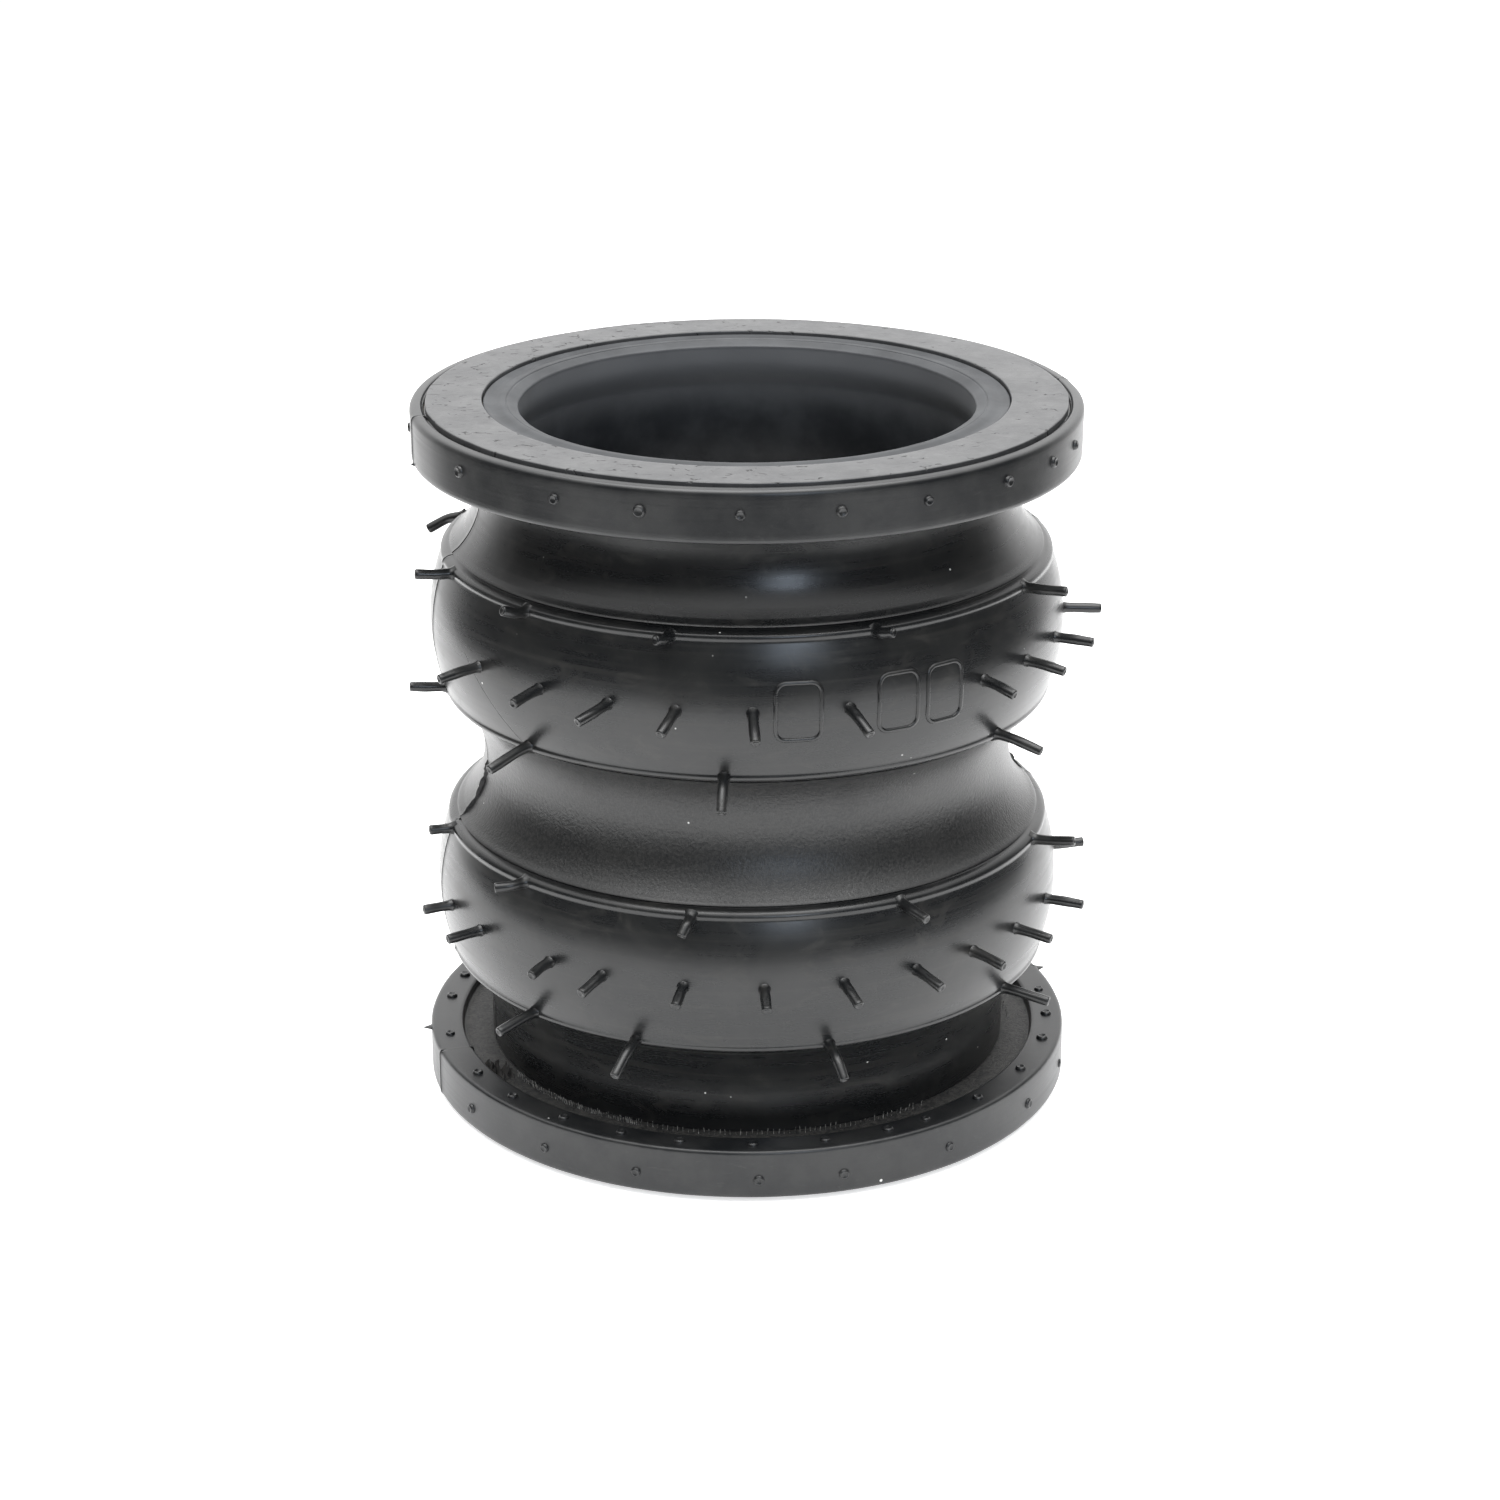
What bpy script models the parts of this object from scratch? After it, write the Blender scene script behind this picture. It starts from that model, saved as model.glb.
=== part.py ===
"""Twin-arch rubber expansion joint, nominal bore 150 mm, moulded body with no backing flanges.

The bore runs along +Z and the lower sealing face lies on z = 0. Every layer of the wall is a solid of
revolution: a hand-made outline in (radius, height), spun round the bore. Metres throughout.
"""

import math

import bmesh
import bpy
from mathutils import Vector

# Overall sizes
FACE_TO_FACE = 0.230
BORE_RADIUS = 0.075
FLANGE_WIDTH = 0.031  # from the bore wall to the flange's outer edge

# Wall, from the bore outwards
TUBE_WALL = 0.003
PLY_THICKNESS = 0.001
COVER_WALL = 0.0045
GAP = 0.0003  # between one solid and the next

# Arches
ARCH_BAND = 0.0455  # height of an arch between its two moulding ribs
ARCH_RISE = 0.0163  # from the neck's outer radius to the arch's crown
ARCH_SAG = 0.0047  # from the crown down to the ribs
RIB_PROUD = 0.0009
RIB_HEIGHT = 0.0022
CROWN_RING = 0.009  # stretch round the crown that keeps its shape when the arch bends

# Flanges
FLANGE_THICKNESS = 0.0174
NECK_STRAIGHT = 0.0084  # from the flange's back to the narrowest part of the neck
FACE_STEP = 0.001  # the rim and the tube's land lie this far below the sealing face
RIM_LAND = 0.0047
FACING_THICKNESS = 0.003
TUBE_LAND = 0.008
BORE_LIP = 0.003  # how far the tube's end stands into the bore
BORE_LIP_BEVEL = 0.0014
BORE_LIP_HEIGHT = 0.008
BORE_LIP_RUNOUT = 0.006
LIP_WIDTH = 0.0105  # raised lip on the flange's back
GROOVE_DEPTH = 0.0035
GROOVE_FLOOR = 0.0014
RIM_WALL = 0.0022
RIM_CHAMFER = 0.0014

# Reinforcement
BEAD_WRAP = 0.0006
HOOP_HEIGHT = 0.008
HOOP_THICKNESS = 0.0015

# Vent pips
PIP_RADIUS = 0.0017
CROWN_PIP_REACH = 0.009  # the real ones droop, so a straight one is shorter
RIB_PIP_REACH = 0.012
PIP_ROOT = 0.0015  # how deep a pip starts inside the cover
PIP_SIDES = 5
CROWN_PIP_ANGLES = {  # degrees from the front, turning towards +X; some places lost their pip
    "lower": (-178, -164, -150, -136, -113, -69, -56, -37, -26, -11, 3, 17, 31, 44, 57, 72, 98, 126, 140, 154, 168),
    "upper": (-173, -159, -145, -131, -54, -38, -24, -12, 1, 17.5, 45, 58, 72, 89, 131, 145, 159, 173),
}
RIB_PIP_ANGLES = {
    "lower_arch_bottom": (-158, -120, -43, -20.5, 15, 57, 130, 166),
    "lower_arch_top": (-146, -76, -45, -10, 29, 70, 142, 178),
    "upper_arch_bottom": (-171, -126, -80, -43, -4, 52, 143),
    "upper_arch_top": (-138, -107, -70, -43, -13.5, 23, 61, 134, 170),
}

# Facets
SEGMENTS = 28
ARCH_POINTS = 6  # outline steps over an arch
VALLEY_POINTS = 8  # outline steps over the waist, and half as many over a neck
WIRE_SIDES = 6

# Worked out from the sizes above
FLANGE_RADIUS = BORE_RADIUS + FLANGE_WIDTH
TUBE_OUTER_DEPTH = COVER_WALL + 2 * PLY_THICKNESS + 3 * GAP
INNER_PLY_DEPTH = COVER_WALL + PLY_THICKNESS + 2 * GAP
OUTER_PLY_DEPTH = COVER_WALL + GAP
NECK_RADIUS = BORE_RADIUS + TUBE_WALL + TUBE_OUTER_DEPTH
CROWN_RADIUS = NECK_RADIUS + ARCH_RISE
RIB_RADIUS = CROWN_RADIUS - ARCH_SAG
WAIST = FACE_TO_FACE / 2
PITCH = WAIST - FLANGE_THICKNESS - NECK_STRAIGHT  # waist to neck, one full wave
CROWNS = (WAIST - PITCH / 2, WAIST + PITCH / 2)
VALLEY_HALF = (PITCH - ARCH_BAND) / 2
COVER_FOOT = FLANGE_THICKNESS - GROOVE_DEPTH + GAP  # where the neck's cover meets the flange
BEND_LENGTH = CROWNS[0] - CROWN_RING / 2 - FLANGE_THICKNESS  # stretch of wall where a flange tilts
NEAR_HINGE = FLANGE_THICKNESS + BEND_LENGTH / 4
FAR_HINGE = FLANGE_THICKNESS + BEND_LENGTH * 3 / 4
ORIGINS = {  # height on the bore's axis of the joint that carries each moving body
    "lower_flange": 0,
    "lower_neck": NEAR_HINGE,
    "lower_arch": FAR_HINGE,
    "waist": WAIST,
    "upper_arch": WAIST,
    "upper_neck": FACE_TO_FACE - FAR_HINGE,
    "upper_flange": FACE_TO_FACE - NEAR_HINGE,
}


def clear_scene():
    for found in list(bpy.data.objects):
        bpy.data.objects.remove(found, do_unlink=True)


# ---------------------------------------------------------------- the wave of the wall


def outline(z):
    """The cover's outer radius at a height: arches between waist and necks, straight at the flanges."""
    from_waist = abs(z - WAIST)
    from_crown = abs(from_waist - PITCH / 2)
    if from_crown <= ARCH_BAND / 2:
        return CROWN_RADIUS - ARCH_SAG * (from_crown / (ARCH_BAND / 2)) ** 2
    if from_waist >= PITCH:
        return NECK_RADIUS
    from_valley = PITCH / 2 - from_crown
    return NECK_RADIUS + (RIB_RADIUS - NECK_RADIUS) * (from_valley / VALLEY_HALF) ** 2


def slope(z):
    step = 0.0005
    return (outline(z + step) - outline(z - step)) / (2 * step)


def wall_stations():
    """Heights where every inner layer has a ring, lowest first."""
    from_waist = [0, VALLEY_HALF / 2, VALLEY_HALF, PITCH / 2, PITCH - VALLEY_HALF, PITCH - VALLEY_HALF / 2]
    from_waist += [PITCH, WAIST - COVER_FOOT]
    upper = [WAIST + h for h in from_waist]
    lower = [WAIST - h for h in from_waist[1:]]
    return sorted(lower + upper)


STATIONS = wall_stations()


def ring_radius(z, depth):
    """Radius of a layer at a station, so many metres under the cover's surface, square to the wall."""
    return outline(z) - depth * math.hypot(1, slope(z))


def layer_radius(z, depth):
    """The same at any height, straight between the stations, so neighbouring layers stay parallel."""
    if z <= STATIONS[0] or z >= STATIONS[-1]:
        return NECK_RADIUS - depth
    above = next(i for i, station in enumerate(STATIONS) if station > z)
    low, high = STATIONS[above - 1], STATIONS[above]
    share = (z - low) / (high - low)
    return ring_radius(low, depth) * (1 - share) + ring_radius(high, depth) * share


def layer_points(depth, bottom, top):
    """A layer's surface from bottom to top, as (radius, height) points."""
    inside = [z for z in STATIONS if bottom < z < top]
    return [(layer_radius(z, depth), z) for z in [bottom, *inside, top]]


def skin_points(bottom, top, steps):
    heights = [bottom + (top - bottom) * i / steps for i in range(steps + 1)]
    return [(outline(z), z) for z in heights]


# ---------------------------------------------------------------- making solids


def material(name, colour, roughness, metallic):
    made = bpy.data.materials.new(name)
    made.use_nodes = True
    shader = made.node_tree.nodes["Principled BSDF"]
    shader.inputs["Base Color"].default_value = (*colour, 1)
    shader.inputs["Roughness"].default_value = roughness
    shader.inputs["Metallic"].default_value = metallic
    return made


def finish(name, bm, finish_of, smooth_angle=35):
    bmesh.ops.recalc_face_normals(bm, faces=bm.faces)
    mesh = bpy.data.meshes.new(name)
    bm.to_mesh(mesh)
    bm.free()
    mesh.shade_smooth()
    mesh.set_sharp_from_angle(angle=math.radians(smooth_angle))
    mesh.materials.append(finish_of)
    made = bpy.data.objects.new(name, mesh)
    bpy.context.collection.objects.link(made)
    return made


def turned(name, body, points, finish_of):
    """A closed outline of (radius, height) points spun round the bore, its origin on its body's joint."""
    origin = ORIGINS[body]
    bm = bmesh.new()
    ring = [bm.verts.new((r, 0, z - origin)) for r, z in points]
    edges = [bm.edges.new((a, b)) for a, b in zip(ring, ring[1:] + ring[:1])]
    bmesh.ops.spin(
        bm,
        geom=ring + edges,
        cent=(0, 0, 0),
        axis=(0, 0, 1),
        angle=math.tau,
        steps=SEGMENTS,
        use_merge=True,
    )
    bmesh.ops.remove_doubles(bm, verts=bm.verts, dist=0.00001)
    made = finish(name, bm, finish_of)
    made.location.z = origin
    return made


def at_end(end, points):
    """Points given as (radius, depth below the sealing face), placed on the lower or the upper flange."""
    if end == "lower":
        return list(points)
    return [(r, FACE_TO_FACE - depth) for r, depth in points]


# ---------------------------------------------------------------- flange pieces

UNDER_FACING = FACING_THICKNESS + GAP
UNDER_INNER_PLY = UNDER_FACING + PLY_THICKNESS
RIM_POCKET = FLANGE_RADIUS - RIM_WALL
POCKET_FLOOR = FLANGE_THICKNESS - GROOVE_DEPTH - GROOVE_FLOOR
BEAD_RADIUS = (POCKET_FLOOR - UNDER_INNER_PLY - 2 * GAP) / 2
BEAD_CENTRE = (RIM_POCKET - GAP - BEAD_RADIUS, UNDER_INNER_PLY + GAP + BEAD_RADIUS)
PLY_END = BEAD_CENTRE[0] - BEAD_RADIUS - GAP
OUTER_PLY_OUTER = NECK_RADIUS - OUTER_PLY_DEPTH
FACING_INNER = BORE_RADIUS + TUBE_LAND + GAP
FACING_OUTER = FLANGE_RADIUS - RIM_LAND


def flange_rim(end, rubber):
    """Rubber rim with the raised lip and the groove on its back, hollow where the bead lies."""
    cover_inner = NECK_RADIUS - COVER_WALL
    points = [
        (FACING_OUTER + GAP, FACE_STEP),
        (FLANGE_RADIUS - RIM_CHAMFER, FACE_STEP),
        (FLANGE_RADIUS, FACE_STEP + RIM_CHAMFER),
        (FLANGE_RADIUS, FLANGE_THICKNESS - RIM_CHAMFER),
        (FLANGE_RADIUS - RIM_CHAMFER, FLANGE_THICKNESS),
        (FLANGE_RADIUS - LIP_WIDTH, FLANGE_THICKNESS),
        (FLANGE_RADIUS - LIP_WIDTH, FLANGE_THICKNESS - GROOVE_DEPTH),
        (cover_inner, FLANGE_THICKNESS - GROOVE_DEPTH),
        (cover_inner, POCKET_FLOOR),
        (RIM_POCKET, POCKET_FLOOR),
        (RIM_POCKET, FACING_THICKNESS),
        (FACING_OUTER + GAP, FACING_THICKNESS),
    ]
    turned(f"{end}_flange_rim", f"{end}_flange", at_end(end, points), rubber)


def sealing_face(end, rubber):
    points = [
        (FACING_INNER, 0),
        (FACING_OUTER, 0),
        (FACING_OUTER, FACING_THICKNESS),
        (FACING_INNER, FACING_THICKNESS),
    ]
    turned(f"{end}_sealing_face", f"{end}_flange", at_end(end, points), rubber)


def round_section(radius):
    turns = [math.tau * (i + 0.5) / WIRE_SIDES for i in range(WIRE_SIDES)]
    return [(BEAD_CENTRE[0] + radius * math.cos(t), BEAD_CENTRE[1] + radius * math.sin(t)) for t in turns]


def bead_wire(end, steel):
    section = round_section(BEAD_RADIUS - BEAD_WRAP - GAP)
    turned(f"{end}_bead_wire", f"{end}_flange", at_end(end, section), steel)


def bead_wrap(end, fabric):
    """Fabric strip folded round the wire, with the fold's two edges left apart on the bore side."""
    outer = round_section(BEAD_RADIUS)
    inner = round_section(BEAD_RADIUS - BEAD_WRAP)
    open_side = WIRE_SIDES // 2
    outer_run = outer[open_side:] + outer[:open_side]
    inner_run = inner[open_side:] + inner[:open_side]
    turned(f"{end}_bead_wrap", f"{end}_flange", at_end(end, outer_run + inner_run[::-1]), fabric)


def bead_filler(end, rubber):
    """Soft rubber strip that fills the flange between the two cord plies, inside the bead."""
    inner = OUTER_PLY_OUTER - PLY_THICKNESS
    top, bottom = UNDER_INNER_PLY + GAP, POCKET_FLOOR - PLY_THICKNESS - 2 * GAP
    points = [(inner, top), (PLY_END, top), (PLY_END, bottom), (inner, bottom)]
    turned(f"{end}_bead_filler", f"{end}_flange", at_end(end, points), rubber)


# ---------------------------------------------------------------- layers that run from flange to flange


def from_both_ends(flare, depth, bottom):
    """A layer's surface with its flare at each end: up from the lower flange, then its mirror image."""
    wall = layer_points(depth, bottom, FACE_TO_FACE - bottom)
    return at_end("lower", flare) + wall + at_end("upper", flare[::-1])


def inner_tube(rubber):
    """Leakproof liner: lands on both flanges, a small lip at each end and the wavy wall between them."""
    outer = from_both_ends(
        [(BORE_RADIUS + TUBE_LAND, FACE_STEP), (BORE_RADIUS + TUBE_LAND, FACING_THICKNESS),
         (BORE_RADIUS + TUBE_WALL, FACING_THICKNESS)],
        TUBE_OUTER_DEPTH,
        COVER_FOOT,
    )
    lip_top = FACE_STEP + BORE_LIP_BEVEL
    lip_foot = lip_top + BORE_LIP_HEIGHT
    inner = from_both_ends(
        [(BORE_RADIUS, FACE_STEP), (BORE_RADIUS - BORE_LIP, lip_top), (BORE_RADIUS - BORE_LIP, lip_foot),
         (BORE_RADIUS, lip_foot + BORE_LIP_RUNOUT)],
        TUBE_OUTER_DEPTH + TUBE_WALL,
        lip_foot + BORE_LIP_RUNOUT + GAP,
    )
    turned("inner_tube", "waist", outer + inner[::-1], rubber)


def cord_ply(name, depth, face, end_radius, fabric):
    """Nylon cord layer that turns outwards into both flanges; face is its upper depth there."""
    inner_radius = NECK_RADIUS - depth - PLY_THICKNESS
    back = face + PLY_THICKNESS
    outer = from_both_ends([(end_radius, back), (NECK_RADIUS - depth, back)], depth, COVER_FOOT)
    inner = from_both_ends([(end_radius, face), (inner_radius, face)], depth + PLY_THICKNESS, COVER_FOOT)
    turned(name, "waist", outer + inner[::-1], fabric)


# ---------------------------------------------------------------- cover bands


def neck_cover(end, rubber):
    rib = WAIST - PITCH + VALLEY_HALF - GAP
    skin = [(NECK_RADIUS, COVER_FOOT)] + skin_points(WAIST - PITCH, rib, VALLEY_POINTS // 2)
    inner = layer_points(COVER_WALL, COVER_FOOT, rib)
    turned(f"{end}_neck_cover", f"{end}_neck", at_end(end, skin + inner[::-1]), rubber)


def arch_cover(end, rubber):
    """Band between two moulding ribs; each rib stands a little proud at the band's edge."""
    bottom, top = CROWNS[0] - ARCH_BAND / 2, CROWNS[0] + ARCH_BAND / 2
    proud = RIB_RADIUS + RIB_PROUD
    flank = skin_points(bottom + RIB_HEIGHT, top - RIB_HEIGHT, ARCH_POINTS)
    skin = [(proud, bottom), (proud, bottom + RIB_HEIGHT / 2)] + flank
    skin += [(proud, top - RIB_HEIGHT / 2), (proud, top)]
    inner = layer_points(COVER_WALL, bottom, top)
    return turned(f"{end}_arch_cover", f"{end}_arch", at_end(end, skin + inner[::-1]), rubber)


def hoop_radius():
    """Inner radius of the waist hoop: clear of the outer ply at the hoop's two edges."""
    return layer_radius(WAIST - HOOP_HEIGHT / 2, OUTER_PLY_DEPTH) + GAP


def waist_cover(rubber):
    """Band between the arches, hollowed on the inside to hold the hoop."""
    half = VALLEY_HALF - GAP
    pocket_half = HOOP_HEIGHT / 2 + GAP
    pocket = hoop_radius() + HOOP_THICKNESS + GAP
    low, high = WAIST - pocket_half, WAIST + pocket_half
    skin = skin_points(WAIST - half, WAIST + half, VALLEY_POINTS)
    below = layer_points(COVER_WALL, WAIST - half, low)
    above = layer_points(COVER_WALL, high, WAIST + half)
    inner = below + [(pocket, low), (pocket, high)] + above
    turned("waist_cover", "waist", skin + inner[::-1], rubber)


def waist_hoop(steel):
    inner = hoop_radius()
    low, high = WAIST - HOOP_HEIGHT / 2, WAIST + HOOP_HEIGHT / 2
    outer = inner + HOOP_THICKNESS
    turned("waist_hoop", "waist", [(outer, low), (outer, high), (inner, high), (inner, low)], steel)


# ---------------------------------------------------------------- vent pips


def add_pip(bm, degrees, wall_radius, reach, z):
    """One small prism rooted in the wall and standing square out of it."""
    turn = math.radians(degrees)
    out = Vector((math.sin(turn), -math.cos(turn), 0))
    side = Vector((math.cos(turn), math.sin(turn), 0))
    up = Vector((0, 0, 1))
    spins = [math.tau * i / PIP_SIDES for i in range(PIP_SIDES)]
    corners = [(side * math.cos(t) + up * math.sin(t)) * PIP_RADIUS for t in spins]
    root = out * (wall_radius - PIP_ROOT) + up * z
    tip = out * (wall_radius + reach) + up * z
    near = [bm.verts.new(root + corner) for corner in corners]
    far = [bm.verts.new(tip + corner) for corner in corners]
    bm.faces.new(near)
    bm.faces.new(far[::-1])
    for i in range(PIP_SIDES):
        j = (i + 1) % PIP_SIDES
        bm.faces.new((near[i], far[i], far[j], near[j]))


def grow_pips(end, cover, rubber):
    """Three rows joined to one arch: one on the crown and one on each rib."""
    crown = CROWNS[0] if end == "lower" else CROWNS[1]
    bm = bmesh.new()
    for degrees in CROWN_PIP_ANGLES[end]:
        add_pip(bm, degrees, CROWN_RADIUS, CROWN_PIP_REACH, crown)
    to_rib = ARCH_BAND / 2 - PIP_RADIUS - GAP
    for side, height in (("bottom", crown - to_rib), ("top", crown + to_rib)):
        for degrees in RIB_PIP_ANGLES[f"{end}_arch_{side}"]:
            add_pip(bm, degrees, RIB_RADIUS, RIB_PIP_REACH, height)
    bmesh.ops.translate(bm, verts=bm.verts, vec=-cover.location)
    pips = finish(f"{end}_pip_shapes", bm, rubber)
    pips.location = cover.location
    pips.hide_render = True
    pips.display_type = "WIRE"
    join = cover.modifiers.new("vent pips", "BOOLEAN")
    join.operation = "UNION"
    join.object = pips


# ---------------------------------------------------------------- the whole joint


def build():
    clear_scene()
    cover = material("cover_rubber", (0.022, 0.023, 0.024), 0.5, 0)
    facing = material("facing_rubber", (0.045, 0.046, 0.048), 0.6, 0)
    tube = material("tube_rubber", (0.028, 0.029, 0.03), 0.55, 0)
    filler = material("filler_rubber", (0.03, 0.03, 0.03), 0.8, 0)
    cord = material("nylon_cord", (0.35, 0.31, 0.24), 0.85, 0)
    wire = material("bead_steel", (0.52, 0.47, 0.4), 0.35, 1)

    for end in ("lower", "upper"):
        flange_rim(end, cover)
        sealing_face(end, facing)
        bead_wire(end, wire)
        bead_wrap(end, cord)
        bead_filler(end, filler)
        neck_cover(end, cover)
        grow_pips(end, arch_cover(end, cover), cover)
    inner_tube(tube)
    cord_ply("inner_cord_ply", INNER_PLY_DEPTH, UNDER_FACING, RIM_POCKET - GAP, cord)
    cord_ply("outer_cord_ply", OUTER_PLY_DEPTH, POCKET_FLOOR - GAP - PLY_THICKNESS, PLY_END, cord)
    waist_cover(cover)
    waist_hoop(wire)


build()
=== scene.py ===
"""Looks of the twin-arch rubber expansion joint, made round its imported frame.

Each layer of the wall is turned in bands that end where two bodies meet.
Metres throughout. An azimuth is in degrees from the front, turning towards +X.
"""

import math
import random
from collections import namedtuple

import bpy
import numpy as np
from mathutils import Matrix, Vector


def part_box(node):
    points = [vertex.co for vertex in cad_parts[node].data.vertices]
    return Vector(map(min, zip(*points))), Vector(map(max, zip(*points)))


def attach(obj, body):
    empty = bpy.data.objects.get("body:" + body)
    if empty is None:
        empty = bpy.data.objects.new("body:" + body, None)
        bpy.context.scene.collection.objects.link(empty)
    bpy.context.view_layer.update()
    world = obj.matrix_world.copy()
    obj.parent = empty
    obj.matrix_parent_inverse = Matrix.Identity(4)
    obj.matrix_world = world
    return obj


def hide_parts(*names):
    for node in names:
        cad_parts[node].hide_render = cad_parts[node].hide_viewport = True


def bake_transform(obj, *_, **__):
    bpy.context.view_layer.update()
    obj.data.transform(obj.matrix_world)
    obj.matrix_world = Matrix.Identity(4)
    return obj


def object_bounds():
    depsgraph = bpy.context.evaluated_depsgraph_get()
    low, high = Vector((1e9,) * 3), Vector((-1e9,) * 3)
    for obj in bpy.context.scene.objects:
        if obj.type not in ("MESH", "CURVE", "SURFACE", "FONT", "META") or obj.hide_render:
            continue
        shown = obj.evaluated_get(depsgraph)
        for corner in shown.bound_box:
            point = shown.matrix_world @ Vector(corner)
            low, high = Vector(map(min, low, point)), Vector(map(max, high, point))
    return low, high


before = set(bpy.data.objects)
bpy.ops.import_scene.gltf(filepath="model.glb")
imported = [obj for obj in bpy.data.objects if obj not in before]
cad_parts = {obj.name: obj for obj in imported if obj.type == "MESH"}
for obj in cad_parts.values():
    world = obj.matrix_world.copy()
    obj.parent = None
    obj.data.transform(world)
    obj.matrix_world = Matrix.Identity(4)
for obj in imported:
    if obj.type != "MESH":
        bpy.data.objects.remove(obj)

cad_low, cad_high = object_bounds()
MM = 0.001

# Sizes from the frame
FACE_TO_FACE = cad_high.z - cad_low.z
RIM_LOW, RIM_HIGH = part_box("upper_flange_rim")
FACING_LOW, FACING_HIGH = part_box("upper_sealing_face")
FLANGE_RADIUS = RIM_HIGH.x
FLANGE_THICKNESS = FACE_TO_FACE - RIM_LOW.z
RIM_DROP = FACE_TO_FACE - RIM_HIGH.z  # the rim lies this far below the sealing face
FACING_OUTER = FACING_HIGH.x
FACING_THICKNESS = FACING_HIGH.z - FACING_LOW.z
HOOP_LOW, HOOP_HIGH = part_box("waist_hoop")
WAIST = FACE_TO_FACE / 2
ARCH_LOW, ARCH_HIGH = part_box("upper_arch_cover")
RIB_TOP, RIB_BOTTOM = ARCH_HIGH.z, ARCH_LOW.z
CROWN = (RIB_TOP + RIB_BOTTOM) / 2
CLEAR = 0.3 * MM

# The wall's wave
NECK_RADIUS = 85.4 * MM
RIB_RADIUS = 97.0 * MM
CROWN_RADIUS = 101.7 * MM
BORE_RADIUS = 75.0 * MM
PITCH = 2 * (CROWN - WAIST)
ARCH_HALF = (RIB_TOP - RIB_BOTTOM) / 2
VALLEY_HALF = RIB_BOTTOM - WAIST
RIBS = (  # height, and which way its valley lies
    (RIB_TOP, 1),
    (RIB_BOTTOM, -1),
    (FACE_TO_FACE - RIB_BOTTOM, 1),
    (FACE_TO_FACE - RIB_TOP, -1),
)

# Layers, as depths under the cover's surface
COVER_BACK = 4.5 * MM
OUTER_PLY = (4.8 * MM, 5.8 * MM)
INNER_PLY = (6.1 * MM, 7.1 * MM)
TUBE = (7.4 * MM, 10.4 * MM)

# Where the wall's bands end, and the stretch of each band that gives.
BEND_END = CROWN + 0.5 * MM
BEND_MIDDLE = RIM_LOW.z - 24 * MM
SQUEEZE_START = WAIST + 2 * MM
SQUEEZE_END = CROWN - 0.5 * MM

# Mould parting seams, one at the left and one behind at the right; the lower flange's lie off the rest
SEAMS = (-77.0, 103.0)
LOWER_FLANGE_SEAMS = (-71.5, 108.5)

random.seed(7)


# ------------------------------------------------------------------ the wave of the wall


def arc_rise(offset, half_chord, rise):
    """How far a circular arc has risen at an offset from its lowest point."""
    radius = (half_chord**2 + rise**2) / (2 * rise)
    return radius - np.sqrt(radius**2 - np.minimum(np.abs(offset), half_chord) ** 2)


def wave(z):
    """Outer radius of the cover at a height, without its ribs."""
    from_waist = np.abs(np.asarray(z, float) - WAIST)
    from_crown = np.abs(from_waist - PITCH / 2)
    from_valley = np.clip(PITCH / 2 - from_crown, 0, VALLEY_HALF)
    arch = CROWN_RADIUS - arc_rise(from_crown, ARCH_HALF, CROWN_RADIUS - RIB_RADIUS)
    valley = NECK_RADIUS + arc_rise(from_valley, VALLEY_HALF, RIB_RADIUS - NECK_RADIUS)
    radius = np.where(from_crown <= ARCH_HALF, arch, valley)
    return np.where(from_waist >= PITCH, NECK_RADIUS, radius)


FINE_HEIGHTS = np.arange(-0.01, FACE_TO_FACE + 0.01, 0.2 * MM)
FINE_WAVE = wave(FINE_HEIGHTS)


def layer(z, depth):
    """Radius of a surface that lies so deep under the cover, square to the wall."""
    heights = np.atleast_1d(np.asarray(z, float))
    away = heights[:, None] - FINE_HEIGHTS[None, :]
    reach = np.sqrt(np.maximum(depth**2 - away**2, 0))
    radii = np.where(np.abs(away) < depth, FINE_WAVE[None, :] - reach, 1.0)
    return radii.min(axis=1)


# Each rib is a narrow bead with a parting groove on its valley side: distance into the valley, height
RIB_SECTION = (
    (-2.0, 0.0), (-1.5, 0.3), (-1.1, 0.62), (-0.5, 0.8), (0.2, 0.86), (0.75, 0.72), (0.95, 0.4), (1.05, -0.2),
    (1.15, -0.62), (1.4, -0.68), (1.55, -0.3), (1.75, 0.25), (2.1, 0.4), (2.5, 0.28), (3.4, 0.0),
)
RIB_STEPS = np.array([step for step, height in RIB_SECTION]) * MM
RIB_LIFTS = np.array([height for step, height in RIB_SECTION]) * MM


def wobble(azimuth, turns, shift):
    return np.sin(azimuth * turns + shift)


def rib_lift(azimuth, z):
    """The ribs' bead and groove, a little uneven round the joint as the mould rings wore."""
    lift = 0
    for number, (height, valley) in enumerate(RIBS):
        section = np.interp((z - height) * valley, RIB_STEPS, RIB_LIFTS)
        worn = 0.85 + 0.18 * wobble(azimuth, 3, number) * wobble(azimuth, 5, 2.1 * number)
        lift = lift + section * worn
    return lift


def uneven(azimuth, z):
    """Slow hills and hollows of a hand-laid cover."""
    slow = wobble(azimuth, 2, 40 * z) * 0.09 + wobble(azimuth, 7, 95 * z + 1) * 0.05
    quick = wobble(azimuth, 17, 210 * z) * wobble(azimuth, 11, -160 * z) * 0.03
    return (slow + quick) * MM


def from_seam(azimuth, seam):
    """Angle from a seam, in radians, from -pi to pi."""
    return (azimuth - math.radians(seam) + math.pi) % math.tau - math.pi


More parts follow.
